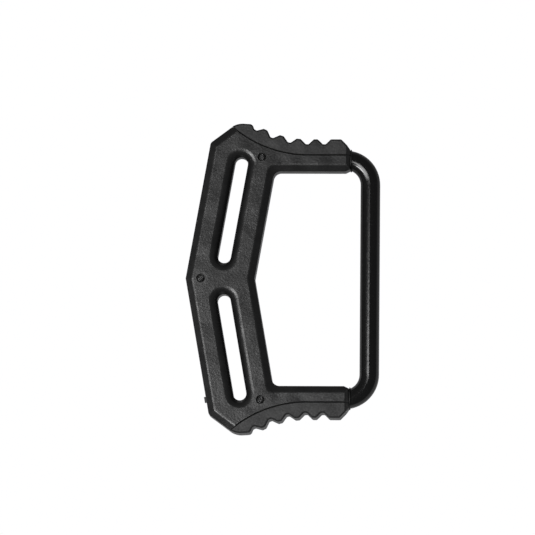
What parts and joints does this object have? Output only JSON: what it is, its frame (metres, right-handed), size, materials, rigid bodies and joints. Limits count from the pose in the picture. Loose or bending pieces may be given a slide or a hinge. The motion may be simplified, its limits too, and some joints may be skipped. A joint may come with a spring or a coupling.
{
  "type": "winch handle",
  "caption": "D-shaped pull handle for a winch strap: chevron moulded body with webbing slots and toothed side grips, closed by a bent round steel grip bar.",
  "frame": {"origin": "centre of the bounding box's footprint, on the back face", "axes": "+Z points out of the front face, where the screw heads are; +Y runs along the grip bar; +X points from the webbing slots to the grip bar"},
  "size_m": [0.0988, 0.1586, 0.015],
  "materials": {
    "shell_plastic": "black glass-filled nylon with a fine spark-eroded grain",
    "pad_rubber": "matte black moulded rubber",
    "coated_steel": "glossy black coat with slight orange peel",
    "black_screw_steel": "black oxide, satin",
    "insert_brass": "machined",
    "seal_rubber": "smooth black rubber"
  },
  "bodies": {
    "root": {"front_shell": "shell_plastic", "back_shell": "shell_plastic", "bail": "coated_steel", "upper_front_pad": "pad_rubber", "upper_back_pad": "pad_rubber", "lower_front_pad": "pad_rubber", "lower_back_pad": "pad_rubber", "upper_screw": "black_screw_steel", "middle_screw": "black_screw_steel", "lower_screw": "black_screw_steel", "upper_insert": "insert_brass", "middle_insert": "insert_brass", "lower_insert": "insert_brass", "upper_mouth_seal": "seal_rubber", "lower_mouth_seal": "seal_rubber"}
  },
  "joints": []
}
